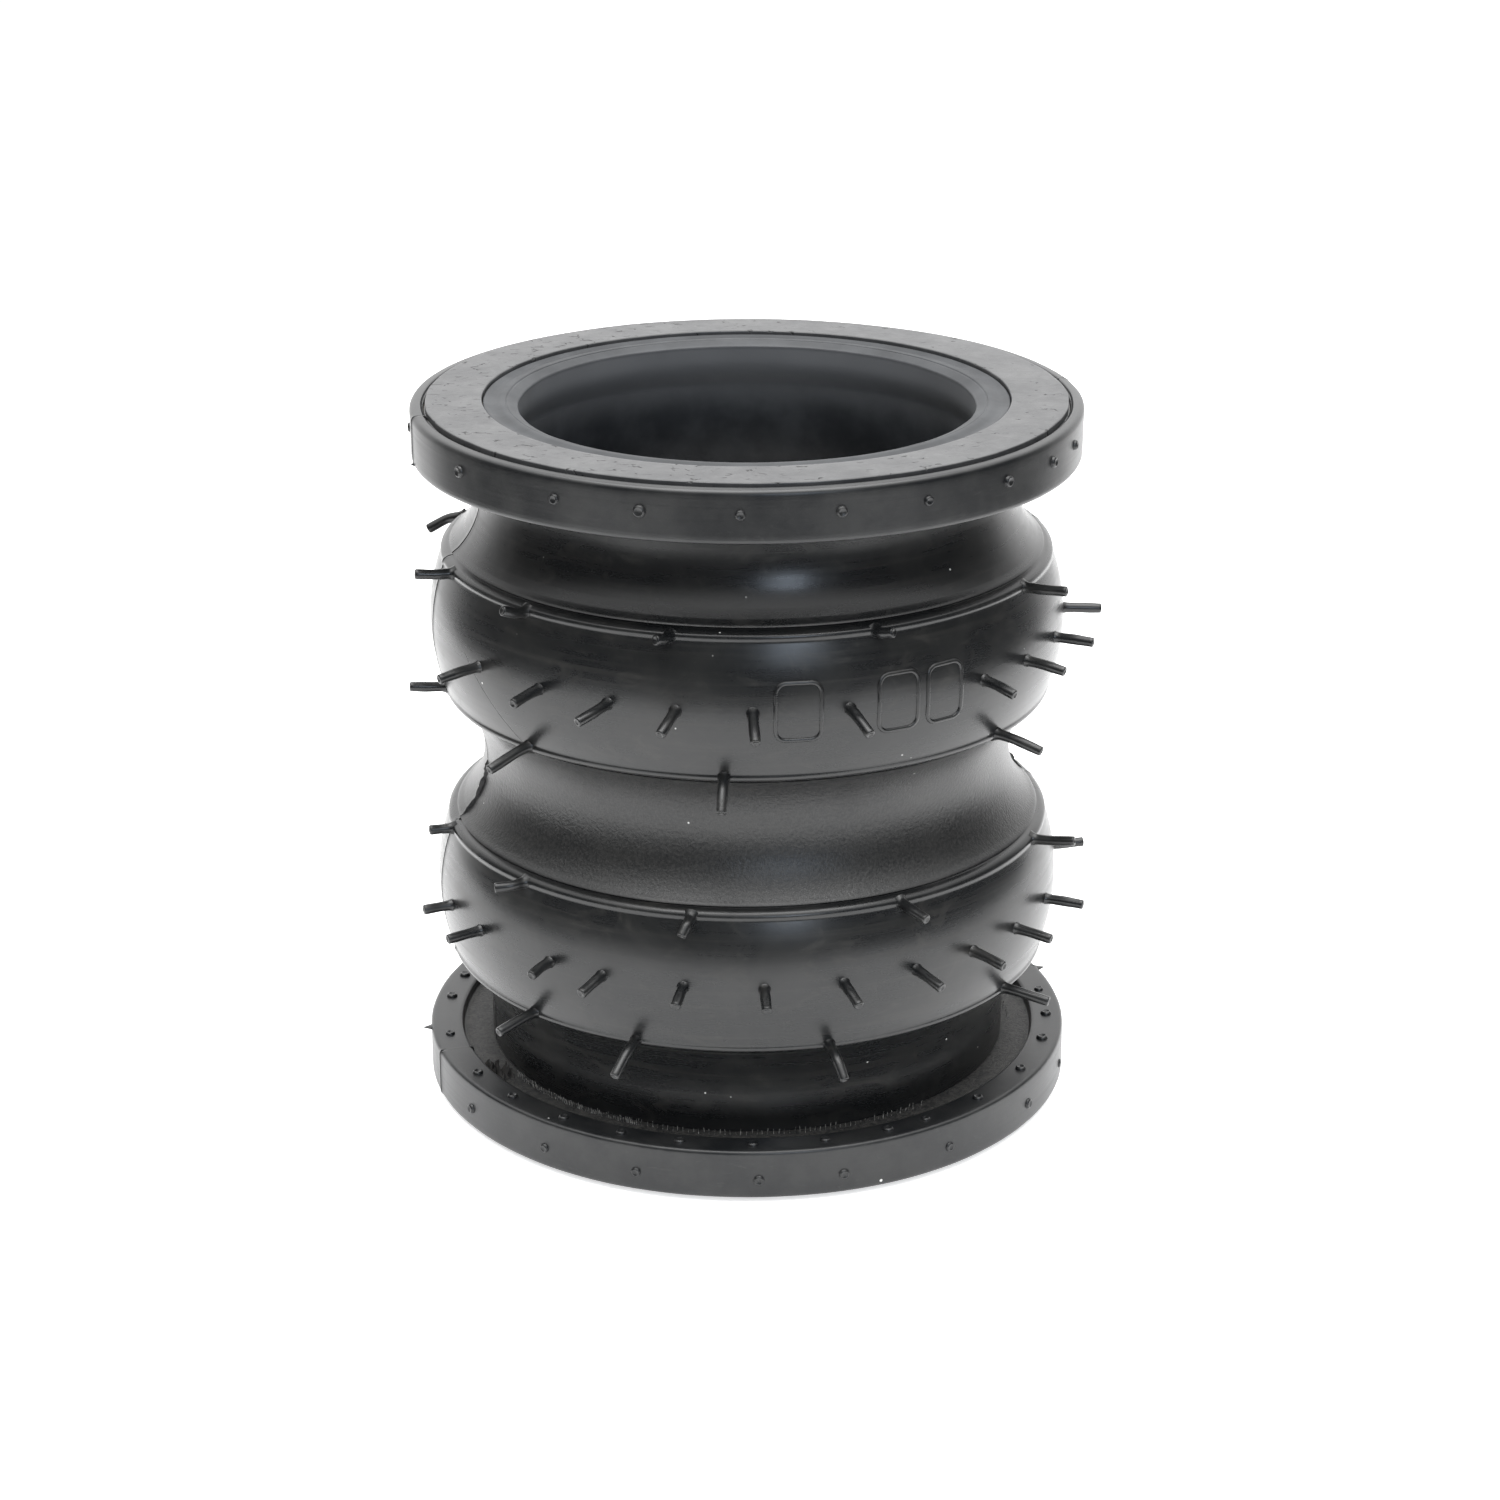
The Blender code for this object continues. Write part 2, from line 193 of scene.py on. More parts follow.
SEAM_STEPS = np.array([-1.6, -0.9, -0.45, -0.22, 0.0, 0.22, 0.5, 1.1, 1.8]) * MM
SEAM_LIFTS = np.array([0.0, 0.1, 0.22, -0.42, -0.5, -0.35, 0.16, 0.06, 0.0]) * MM


def seam_lift(azimuth, radius, seams=SEAMS):
    """The fine split line that the two mould halves leave, with its raised lips."""
    lift = 0
    for seam in seams:
        lift = lift + np.interp(from_seam(azimuth, seam) * radius, SEAM_STEPS, SEAM_LIFTS)
    return lift


def cover_surface(azimuth, z):
    """Radius of the finished cover."""
    radius = wave(z)
    return radius + rib_lift(azimuth, z) + uneven(azimuth, z) + seam_lift(azimuth, radius)


# ------------------------------------------------------------------ making meshes


def columns(seams, count=240):
    """Azimuths in radians of a ring's columns: even, with more of them at the seams."""
    even = np.arange(count) * math.tau / count
    beside = [math.radians(seam) + step / RIB_RADIUS for seam in seams for step in SEAM_STEPS]
    extra = np.array(beside) % math.tau
    kept = [turned for turned in even if np.abs(from_seam(turned, 0) - from_seam(extra, 0)).min() > 0.004]
    return np.sort(np.concatenate([kept, extra]))


COLUMNS = columns(SEAMS)
LOWER_FLANGE_COLUMNS = columns(LOWER_FLANGE_SEAMS)
HIDDEN_COLUMNS = np.arange(96) * math.tau / 96


def set_rest_place(mesh):
    """Stores where each point lies at rest, so that a finish stays put when the rubber moves."""
    places = np.zeros(len(mesh.vertices) * 3, np.float32)
    mesh.vertices.foreach_get("co", places)
    mesh.attributes.new("rest_place", "FLOAT_VECTOR", "POINT").data.foreach_set("vector", places)


def piece_from(name, shape, finish, smooth_angle=45):
    points, faces = shape
    mesh = bpy.data.meshes.new(name)
    mesh.from_pydata(points, [], faces)
    mesh.shade_smooth()
    mesh.set_sharp_from_angle(angle=math.radians(smooth_angle))
    set_rest_place(mesh)
    mesh.materials.append(finish)
    piece = bpy.data.objects.new(name, mesh)
    bpy.context.collection.objects.link(piece)
    return piece


def turn(name, skin, back, finish, relief=None, turns=None):
    """A closed ring. skin points run up one side and back points down the other; relief lifts the skin."""
    turns = COLUMNS if turns is None else turns
    outline = np.array(list(skin) + list(back), float)
    azimuth = turns[:, None]
    radius = np.repeat(outline[None, :, 0], len(turns), axis=0)
    height = np.repeat(outline[None, :, 1], len(turns), axis=0)
    if relief:
        count = len(skin)
        radius[:, :count] += relief(azimuth, radius[:, :count], height[:, :count])
    points = np.stack([radius * np.sin(azimuth), -radius * np.cos(azimuth), height], axis=-1)
    across, along = len(turns), len(outline)
    column, row = np.meshgrid(np.arange(across), np.arange(along), indexing="ij")
    next_column, next_row = (column + 1) % across, (row + 1) % along
    corners = (column, row), (next_column, row), (next_column, next_row), (column, next_row)
    faces = np.stack([c * along + r for c, r in corners], axis=-1).reshape(-1, 4)
    return piece_from(name, (points.reshape(-1, 3).tolist(), faces.tolist()), finish)


def heights_between(low, high, step):
    """Rows of a band: even, close to both its ends, and close together over a rib."""
    count = max(2, math.ceil((high - low) / step))
    rows = list(np.linspace(low, high, count + 1)) + [low + 0.12 * MM, high - 0.12 * MM]
    for height, valley in RIBS:
        rows += [height + valley * along for along in RIB_STEPS]
    rows = sorted(row for row in rows if low <= row <= high)
    kept = [rows[0]]
    for row in rows[1:]:
        if row - kept[-1] > 0.04 * MM:
            kept.append(row)
    kept[-1] = high
    return np.array(kept)


def rounded(corners, steps=4):
    """An outline with its corners rounded. Each corner is (radius, height, rounding)."""
    points = []
    for i, (r, z, rounding) in enumerate(corners):
        here = Vector((r, z))
        if not rounding:
            points.append(tuple(here))
            continue
        before = Vector(corners[i - 1][:2]) - here
        after = Vector(corners[(i + 1) % len(corners)][:2]) - here
        start = here + before.normalized() * min(rounding, before.length * 0.48)
        end = here + after.normalized() * min(rounding, after.length * 0.48)
        for k in range(steps + 1):
            t = k / steps
            points.append(tuple(start * (1 - t) ** 2 + here * 2 * t * (1 - t) + end * t**2))
    return points


def at_end(end, points):
    """Points as (radius, depth below the sealing face), placed on one flange, kept counter-clockwise."""
    if end == "upper":
        return [(r, FACE_TO_FACE - depth, *rest) for r, depth, *rest in points]
    return [(r, depth, *rest) for r, depth, *rest in points][::-1]


# ------------------------------------------------------------------ bands of the wall


Band = namedtuple("Band", "name low high body_below body_above give_start give_end nodes")


def below(z):
    """The height as far from the waist as z, on the other side."""
    return FACE_TO_FACE - z


BANDS = (
    Band("lower_neck", below(RIM_LOW.z), below(BEND_MIDDLE), "lower_flange", "lower_neck",
         below(RIM_LOW.z), below(BEND_MIDDLE), ("lower_neck_cover",)),
    Band("lower_arch_bottom", below(BEND_MIDDLE), below(CROWN), "lower_neck", "lower_arch",
         below(BEND_MIDDLE), below(BEND_END), ("lower_neck_cover", "lower_arch_cover")),
    Band("lower_arch_top", below(CROWN), WAIST, "lower_arch", "waist",
         below(SQUEEZE_END), below(SQUEEZE_START), ("lower_arch_cover", "waist_cover")),
    Band("upper_arch_bottom", WAIST, CROWN, "waist", "upper_arch",
         SQUEEZE_START, SQUEEZE_END, ("waist_cover", "upper_arch_cover")),
    Band("upper_arch_top", CROWN, BEND_MIDDLE, "upper_arch", "upper_neck",
         BEND_END, BEND_MIDDLE, ("upper_arch_cover", "upper_neck_cover")),
    Band("upper_neck", BEND_MIDDLE, RIM_LOW.z, "upper_neck", "upper_flange",
         BEND_MIDDLE, RIM_LOW.z, ("upper_neck_cover",)),
)


def give(piece, band):
    """Bakes a piece's place into its mesh."""
    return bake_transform(piece)


def give_evenly(piece, band, z):
    """Works out a small piece's share of its band's stretch at its height, and bakes its place into its mesh."""
    far = 50.0
    share = min(1.0, max(0.0, (z - band.give_start) / (band.give_end - band.give_start)))
    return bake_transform(piece, band.body_below, band.body_above, (-far * share, 0, 0), (far * (1 - share), 0, 0))


def band_at(z):
    return next(band for band in BANDS if band.low <= z <= band.high)


def band_named(name):
    return next(band for band in BANDS if band.name == name)


def foot(band):
    """A band's ends as they are drawn: the outer two bands reach down into the flanges' grooves."""
    reach = 3.2 * MM
    low = band.low - reach if band is BANDS[0] else band.low
    high = band.high + reach if band is BANDS[-1] else band.high
    return low, high


def hoop_pocket(z):
    """Radius of the hollow that holds the waist hoop."""
    near = abs(z - WAIST) < (HOOP_HIGH.z - HOOP_LOW.z) / 2 + CLEAR
    return HOOP_HIGH.x + CLEAR if near else 0


def cover_bands(finish):
    def relief(azimuth, radius, z):
        return cover_surface(azimuth, z) - wave(z)

    for band in BANDS:
        low, high = foot(band)
        rows = heights_between(low, high, 1.3 * MM)
        skin = list(zip(wave(rows), rows))
        depths = np.linspace(high, low, 25)
        back = [(max(radius, hoop_pocket(z)), z) for radius, z in zip(layer(depths, COVER_BACK), depths)]
        piece = turn(f"{band.name}_cover_band", skin, back, finish, relief)
        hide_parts(*band.nodes)
        give(piece, band)


def tube_bands(finish):
    def relief(azimuth, radius, z):
        return 0.6 * uneven(azimuth + 1, z * 0.8)

    for band in BANDS:
        rows = heights_between(band.low, band.high, 1.6 * MM)
        behind = np.linspace(band.low, band.high, 17)
        inside = list(zip(layer(rows, TUBE[1]), rows))[::-1]
        outside = list(zip(layer(behind, TUBE[0]), behind))
        piece = turn(f"{band.name}_tube_band", inside, outside, finish, relief)
        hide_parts("inner_tube")
        give(piece, band)


def ply_bands(name, depths, finish):
    for band in BANDS:
        rows = np.linspace(band.low, band.high, 25)
        outside = list(zip(layer(rows, depths[0]), rows))
        inside = list(zip(layer(rows, depths[1]), rows))[::-1]
        piece = turn(f"{band.name}_{name}", outside, inside, finish, turns=HIDDEN_COLUMNS)
        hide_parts(name)
        give(piece, band)


def ply_end(end, name, depths, face, reach, finish):
    """The part of a cord ply that turns outwards into a flange."""
    outer, inner = NECK_RADIUS - depths[0], NECK_RADIUS - depths[1]
    back = face + depths[1] - depths[0]
    corners = [(inner, FLANGE_THICKNESS, 0), (outer, FLANGE_THICKNESS, 0), (outer, back, 0.6 * MM),
               (reach, back, 0), (reach, face, 0), (inner, face, 0.6 * MM)]
    outline = rounded(at_end(end, corners))
    piece = turn(f"{end}_{name}_turned_out", outline, [], finish, turns=HIDDEN_COLUMNS)
    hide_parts(name)
    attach(piece, f"{end}_flange")


# ------------------------------------------------------------------ flanges


LIP_INNER = FLANGE_RADIUS - 10.5 * MM
GROOVE_FLOOR = FLANGE_THICKNESS - 3.5 * MM
FACING_INNER = 83.3 * MM
BORE_LIP_RADIUS = 72.0 * MM


def flange_relief(azimuth, radius, z):
    """Seam and hand-trimmed edge of a flange, fading out towards the bore."""
    rise = np.clip((radius - 0.088) / 0.008, 0, 1)
    seams = LOWER_FLANGE_SEAMS if np.max(z) < WAIST else SEAMS
    return (seam_lift(azimuth, FLANGE_RADIUS, seams) * 1.3 + 1.6 * uneven(azimuth, z * 0.5 + 0.3)) * rise


def thicken(points, step=1.5 * MM):
    """More points along an outline's long straight runs."""
    full = []
    for here, after in zip(points, points[1:] + points[:1]):
        length = math.dist(here, after)
        count = max(1, math.ceil(length / step))
        for k in range(count):
            t = k / count
            full.append((here[0] * (1 - t) + after[0] * t, here[1] * (1 - t) + after[1] * t))
    return full


def flange_rim(end, finish):
    pocket_floor = GROOVE_FLOOR - 1.4 * MM
    pocket_wall = FLANGE_RADIUS - 2.2 * MM
    under = NECK_RADIUS - COVER_BACK + 0.6 * MM
    corners = [
        (pocket_wall, FACING_THICKNESS, 0),
        (FACING_OUTER + 0.25 * MM, FACING_THICKNESS, 0),
        (FACING_OUTER + 0.25 * MM, RIM_DROP + 0.9 * MM, 0.3 * MM),
        (FACING_OUTER + 0.8 * MM, RIM_DROP + 0.7 * MM, 0.3 * MM),
        (FACING_OUTER + 1.2 * MM, RIM_DROP - 0.1 * MM, 0.5 * MM),
        (FLANGE_RADIUS, RIM_DROP + 0.15 * MM, 1.7 * MM),
        (FLANGE_RADIUS, FLANGE_THICKNESS, 1.6 * MM),
        (LIP_INNER, FLANGE_THICKNESS - 0.2 * MM, 1.0 * MM),
        (LIP_INNER - 0.5 * MM, GROOVE_FLOOR, 0.9 * MM),
        (under, GROOVE_FLOOR, 0),
        (under, pocket_floor, 0),
        (pocket_wall, pocket_floor, 0),
    ]
    corners = at_end(end, corners[::-1])
    outline = thicken(rounded(corners, 5))
    turns = LOWER_FLANGE_COLUMNS if end == "lower" else COLUMNS
    piece = turn(f"{end}_rim", outline, [], finish, flange_relief, turns)
    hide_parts(f"{end}_flange_rim")
    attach(piece, f"{end}_flange")


def facing_relief(azimuth, radius, z):
    rise = np.clip((radius - 0.0925) / 0.009, 0, 1)
    inward = np.clip((0.0925 - radius) / 0.009, 0, 1)
    ragged = wobble(azimuth, 9, 0.4) * 0.12 + wobble(azimuth, 23, 1.9) * 0.07
    ragged = ragged + wobble(azimuth, 41, 0.2) * 0.05
    return ragged * MM * (rise - 0.6 * inward)


def sealing_face(end, finish):
    outer = FACING_OUTER - 0.15 * MM
    corners = [
        (FACING_INNER, FACING_THICKNESS - 0.1 * MM, 0),
        (FACING_INNER, 0.05 * MM, 0.5 * MM),
        ((FACING_INNER + outer) / 2, 0.0, 4 * MM),
        (outer, 0.03 * MM, 0.45 * MM),
        (outer, FACING_THICKNESS - 0.7 * MM, 0),
        (outer + 0.35 * MM, FACING_THICKNESS - 0.6 * MM, 0),
        (outer + 0.35 * MM, FACING_THICKNESS - 0.1 * MM, 0),
    ]
    corners = at_end(end, corners[::-1])
    outline = thicken(rounded(corners, 4), 1.1 * MM)
    piece = turn(f"{end}_facing", outline, [], finish, facing_relief)
    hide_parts(f"{end}_sealing_face")
    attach(piece, f"{end}_flange")


def lip_relief(azimuth, radius, z):
    """The liner's end, trimmed by hand and peeled a little where the knife slipped."""
    depth = np.minimum(np.abs(z), np.abs(FACE_TO_FACE - z))
    near_face = np.clip(1 - (depth - RIM_DROP) / (9 * MM), 0, 1)
    at_lip = np.clip((BORE_RADIUS + 1.5 * MM - radius) / (3 * MM), 0, 1)
    ragged = wobble(azimuth, 5, 0.9) * 0.25 + wobble(azimuth, 13, 2.2) * 0.12 + wobble(azimuth, 31, 0) * 0.06
    return ragged * MM * near_face * at_lip


def liner_end(end, finish):
    """Land, bevelled lip and throat of the liner inside a flange."""
    tube_outer = NECK_RADIUS - TUBE[0]
    land = FACING_INNER - 0.25 * MM
    top = RIM_DROP
    corners = [
        (tube_outer, FLANGE_THICKNESS, 0),
        (tube_outer, FACING_THICKNESS, 0),
        (land, FACING_THICKNESS, 0),
        (land, top + 0.25 * MM, 0.3 * MM),
        (land - 0.7 * MM, top, 0.4 * MM),
        (land - 2.4 * MM, top + 0.65 * MM, 0.8 * MM),
        (land - 3.6 * MM, top + 0.6 * MM, 0.6 * MM),
        (BORE_RADIUS + 2.4 * MM, top, 0.6 * MM),
        (BORE_RADIUS + 1.0 * MM, top, 0.3 * MM),
        (BORE_RADIUS + 0.7 * MM, top + 0.4 * MM, 0.2 * MM),
        (BORE_RADIUS + 0.3 * MM, top + 0.2 * MM, 0.3 * MM),
        (BORE_LIP_RADIUS, top + 1.5 * MM, 0.6 * MM),
        (BORE_LIP_RADIUS + 0.2 * MM, top + 9 * MM, 3 * MM),
        (BORE_RADIUS, FLANGE_THICKNESS - 1.5 * MM, 1.5 * MM),
        (BORE_RADIUS, FLANGE_THICKNESS, 0),
    ]
    corners = at_end(end, corners)
    outline = thicken(rounded(corners, 4), 1.3 * MM)
    piece = turn(f"{end}_liner_end", outline, [], finish, lip_relief)
    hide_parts("inner_tube")
    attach(piece, f"{end}_flange")


# ------------------------------------------------------------------ nubs and pips


def outward(azimuth):
    turned = math.radians(azimuth)
    return Vector((math.sin(turned), -math.cos(turned), 0))


def sideways(azimuth):
    turned = math.radians(azimuth)
    return Vector((math.cos(turned), math.sin(turned), 0))


def joined(shapes):
    """One set of points and faces from several."""
    points, faces = [], []
    for more_points, more_faces in shapes:
        start = len(points)
        points += [tuple(point) for point in more_points]
        faces += [tuple(start + k for k in face) for face in more_faces]
    return points, faces


def rod(rings, sides=14):
    """A round solid through rings of (centre, direction, radius), closed at both ends."""
    points, faces = [], []
    for centre, ahead, radius in rings:
        across = ahead.cross(Vector((0, 0, 1))) if abs(ahead.z) < 0.99 else Vector((1, 0, 0))
        across.normalize()
        up = ahead.cross(across).normalized()
        for k in range(sides):
            turned = math.tau * k / sides
            points.append(centre + (across * math.cos(turned) + up * math.sin(turned)) * radius)
    for i in range(len(rings) - 1):
        for k in range(sides):
            a, b = i * sides + k, i * sides + (k + 1) % sides
            faces.append((a, b, b + sides, a + sides))
    last = (len(rings) - 1) * sides
    faces.append(tuple(reversed(range(sides))))
    faces.append(tuple(last + k for k in range(sides)))
    return points, faces


PIP_RADIUS = 1.7 * MM


def pip(azimuth, z, length, droop, sway, kink):
    """One vent pip: flared where it grows from the skin, bent part-way along, with a trimmed, cupped end."""
    root_depth = 1.2 * MM
    root_radius = float(cover_surface(math.radians(azimuth), z)) - root_depth
    place = outward(azimuth) * root_radius + Vector((0, 0, z))
    steps = 16
    total = length + root_depth
    rings = []
    for i in range(steps + 1):
        t = i / steps
        bend = 1 / (1 + math.exp(-(t - kink) * 14))
        lean = math.radians(droop) * (0.35 + 0.9 * bend)
        swing = math.radians(sway) * (0.3 + 0.9 * bend)
        ahead = outward(azimuth) * math.cos(lean) * math.cos(swing)
        ahead += sideways(azimuth) * math.sin(swing) * math.cos(lean) - Vector((0, 0, math.sin(lean)))
        ahead.normalize()
        root = max(0.0, 1 - t * total / (2.6 * MM))
        radius = PIP_RADIUS * (1 + 0.6 * root**2 - 0.06 * t + 0.03 * math.sin(9 * t + azimuth))
        rings.append((place.copy(), ahead, radius))
        place = place + ahead * total / steps
    tip, ahead, radius = rings[-1]
    for forward, share in ((0.18, 0.97), (0.36, 0.86), (0.42, 0.7), (0.3, 0.52), (0.12, 0.3), (0.08, 0.06)):
        rings.append((tip + ahead * forward * MM, ahead, radius * share))
    return rod(rings)


CROWN_PIPS = {
    "upper": ((-54, 13.5, 7, -3, 0.5), (-38, 11.5, 7, 0, 0.4), (-24, 13, 12, -22, 0.5),
              (-12, 11, 22, -14, 0.45),
              (1, 12, 24, 3, 0.3), (17.5, 12.5, 24, 14, 0.5), (45, 11.5, 12, 4, 0.5), (58, 12.5, 8, 4, 0.5),
              (72, 12, 3, 0, 0.5), (89, 12, 2, 3, 0.4), (131, 10, 8, 5, 0.5), (145, 11, 12, -6, 0.4),
              (159, 11, 16, 9, 0.5), (173, 10, 20, -4, 0.4), (-173, 12, 18, 6, 0.5), (-159, 11, 24, -12, 0.4),
              (-145, 9, 12, 4, 0.5), (-131, 10, 8, -5, 0.5)),
    "lower": ((-69, 9, 2, 0, 0.5), (-56, 11, 3, -4, 0.5), (-37, 9, 8, 4, 0.5), (-26, 10, 14, -12, 0.4),
              (-11, 9, 18, -4, 0.5), (3, 9.5, 20, 2, 0.5), (17, 10.5, 20, 10, 0.5), (31, 11.5, 12, 10, 0.5),
              (44, 12, 8, 4, 0.5), (57, 12, 6, 4, 0.5), (72, 12, 3, 0, 0.5), (98, 12, -3, 0, 0.5),
              (126, 10, 6, 8, 0.5), (140, 11, 12, -9, 0.4), (154, 9, 20, 6, 0.5), (168, 11, 16, -5, 0.4),
              (-178, 12, 22, 3, 0.5), (-164, 10, 14, -14, 0.4), (-150, 11, 10, 8, 0.5), (-136, 9, 6, 2, 0.5),
              (-113, 8, 2, 0, 0.5)),
}
RIB_PIPS = {
    "upper_arch_top": ((-70, 11, -4, -8, 0.5), (-43, 8, -16, -12, 0.5), (-13.5, 6, -8, -30, 0.5),
                       (23, 6, -10, 30, 0.4), (61, 13, -2, 6, 0.5)),
    "upper_arch_bottom": ((-80, 11, -4, 0, 0.5), (-43, 15, 14, -6, 0.25), (-4, 13, 34, 0, 0.35),
                          (52, 15, 13, 10, 0.4)),
    "lower_arch_top": ((-76, 7, 0, 0, 0.5), (-45, 9, 4, -34, 0.5), (-10, 7, 34, -20, 0.5),
                       (29, 11, 10, 14, 0.5), (70, 13, -6, 0, 0.5)),
    "lower_arch_bottom": ((-43, 14, 10, -6, 0.3), (-20.5, 15, 28, -8, 0.4), (15, 14, 34, 8, 0.5),
                          (57, 15, 8, 10, 0.4)),
}
UNSEEN_RIB_AZIMUTHS = {
    "lower_arch_bottom": (-158, -120, 130, 166),
    "lower_arch_top": (-146, 142, 178),
    "upper_arch_bottom": (-171, -126, 143),
    "upper_arch_top": (-138, -107, 134, 170),
}


def chance_pip(azimuth):
    """A pip at the back: like its neighbours, each bent its own way."""
    length, droop = random.uniform(9, 12), random.uniform(2, 24)
    sway, kink = random.uniform(-18, 18), random.uniform(0.3, 0.6)
    return azimuth, length, droop, sway, kink


def crown_pips(end, finish):
    z = CROWN if end == "upper" else FACE_TO_FACE - CROWN
    shapes = [pip(azimuth, z, length * MM, *bends) for azimuth, length, *bends in CROWN_PIPS[end]]
    piece = piece_from(f"{end}_crown_pips", joined(shapes), finish)
    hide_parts(f"{end}_arch_cover")
    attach(piece, f"{end}_arch")


def rib_pips(name, finish):
    end, side = name.split("_")[0], name.split("_")[2]
    crown = CROWN if end == "upper" else FACE_TO_FACE - CROWN
    z = crown + (ARCH_HALF - 1.2 * MM) * (1 if side == "top" else -1)
    row = list(RIB_PIPS[name]) + [chance_pip(azimuth) for azimuth in UNSEEN_RIB_AZIMUTHS[name]]
    shapes = [pip(azimuth, z, length * MM, *bends) for azimuth, length, *bends in row]
    piece = piece_from(f"{name}_pips", joined(shapes), finish)
    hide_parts(f"{end}_arch_cover")
    give_evenly(piece, band_at(z), z)


NUB_SECTION = ((2.3, -0.5), (1.95, 0.0), (1.85, 0.55), (1.65, 0.95), (1.3, 1.12), (0.95, 1.0),
               (0.5, 0.82), (0.1, 0.8))


def nub(centre, out, size):
    """A round stub where a vent hole was trimmed off short."""
    rings = [(centre + out * lift * size * MM, out, radius * size * MM) for radius, lift in NUB_SECTION]
    return rod(rings, 16)


RIM_NUBS = {
    "upper": (-84, -54, -32, -17, -1, 15, 30, 47, 61, 72),
    "lower": (-57, -37, -19, 2, 16.5, 37, 59, 77),
}
BACK_NUBS = (-95, -78, -60, -48, -35, -23, -12, 1, 14, 26, 34, 47, 62, 76, 87, 98)


def rim_nubs(end, finish):
    depth = 8 * MM
    z = FACE_TO_FACE - depth if end == "upper" else depth
    azimuths = list(RIM_NUBS[end]) + [92 + 15 * i for i in range(12)]
    shapes = []
    for azimuth in azimuths:
        size = random.uniform(0.8, 1.05)
        lift = random.uniform(-0.35, -0.1) * MM
        place = outward(azimuth) * (FLANGE_RADIUS + lift) + Vector((0, 0, z + random.uniform(-0.4, 0.4) * MM))
        shapes.append(nub(place, outward(azimuth), size))
    piece = piece_from(f"{end}_rim_nubs", joined(shapes), finish)
    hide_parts(f"{end}_flange_rim")
    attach(piece, f"{end}_flange")


def back_nubs(end, finish):
    """Nubs on the raised lip at the flange's back."""
    up = Vector((0, 0, 1)) if end == "lower" else Vector((0, 0, -1))
    z = FLANGE_THICKNESS if end == "lower" else RIM_LOW.z
    azimuths = list(BACK_NUBS) + [112 + 13 * i for i in range(12)]
    shapes = []
    for azimuth in azimuths:
        place = outward(azimuth) * 100.5 * MM + Vector((0, 0, z)) - up * 0.3 * MM
        shapes.append(nub(place, up, random.uniform(0.75, 1.0)))
    piece = piece_from(f"{end}_back_nubs", joined(shapes), finish)
    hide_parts(f"{end}_flange_rim")
    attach(piece, f"{end}_flange")


# ------------------------------------------------------------------ raised marks, mould flash and loose cords


RIBBON = ((-0.75, -0.35), (-0.62, 0.2), (-0.38, 0.46), (0.0, 0.52), (0.38, 0.46), (0.62, 0.2), (0.75, -0.35))
MARKS = ((4.8, 12.6, 9.0), (22.8, 30.2, 9.0), (32.2, 39.4, 9.0))  # first and last azimuth, half height in mm


def skin_place(along, z, lift):
    """A point over the upper arch: along is the arc in metres at the crown's radius."""
    azimuth = along / CROWN_RADIUS
    radius = float(cover_surface(azimuth, z)) + lift
    return (radius * math.sin(azimuth), -radius * math.cos(azimuth), z)


def half_slot_path(first, last, half_height, side):
    """Up one side of a slot, round its two corners and down the other, from the crown and back to it."""
    left, right = math.radians(first) * CROWN_RADIUS, math.radians(last) * CROWN_RADIUS
    corner = min(3.2 * MM, (right - left) / 2)
    top = half_height * MM
    path = [(left, t * (top - corner) / 7) for t in range(7)]
    for centre, start in ((left + corner, math.pi), (right - corner, math.pi / 2)):
        turns = [start - math.pi / 2 * k / 7 for k in range(8)]
        path += [(centre + corner * math.cos(t), top - corner + corner * math.sin(t)) for t in turns]
    path += [(right, t * (top - corner) / 7) for t in reversed(range(7))]
    return [(along, CROWN + side * rise) for along, rise in path]


def ribbon(path):
    """A raised line along a path on the skin."""
    points, faces = [], []
    count = len(RIBBON)
    for i, (along, z) in enumerate(path):
        before, after = path[max(i - 1, 0)], path[min(i + 1, len(path) - 1)]
        ahead = Vector((after[0] - before[0], after[1] - before[1])).normalized()
        for across, lift in RIBBON:
            points.append(skin_place(along - ahead.y * across * MM, z + ahead.x * across * MM, lift * MM))
    for i in range(len(path) - 1):
        for k in range(count):
            a, b = i * count + k, i * count + (k + 1) % count
            faces.append((a, a + count, b + count, b))
    last = (len(path) - 1) * count
    faces.append(tuple(range(count)))
    faces.append(tuple(last + k for k in reversed(range(count))))
    return points, faces


def raised_marks(half, finish):
    """Three plain hollow slots on the upper arch, split at its crown."""
    side = 1 if half == "upper_arch_top" else -1
    shapes = [ribbon(half_slot_path(first, last, height, side)[::-side]) for first, last, height in MARKS]
    piece = piece_from(f"{half}_marks", joined(shapes), finish)
    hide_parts("upper_arch_cover")
    give(piece, band_named(half))


def ragged_strip(places, directions, heights, thickness):
    """A torn leaf of rubber: a thin strip with its root on a line and a ragged outer edge."""
    points, faces = [], []
    for i, (place, out, height) in enumerate(zip(places, directions, heights)):
        ahead = (places[min(i + 1, len(places) - 1)] - places[max(i - 1, 0)]).normalized()
        side = ahead.cross(out).normalized() * thickness / 2
        for reach, share in ((-0.8 * MM, 1), (height * 0.6, 0.8), (height, 0.35)):
            points.append(place + out * reach + side * share)
        for reach, share in ((height, -0.35), (height * 0.6, -0.8), (-0.8 * MM, -1)):
            points.append(place + out * reach + side * share)
    for i in range(len(places) - 1):
        for k in range(6):
            a, b = i * 6 + k, i * 6 + (k + 1) % 6
            faces.append((a, a + 6, b + 6, b))
    last = (len(places) - 1) * 6
    faces.append(tuple(range(6)))
    faces.append(tuple(last + k for k in reversed(range(6))))
    return points, faces


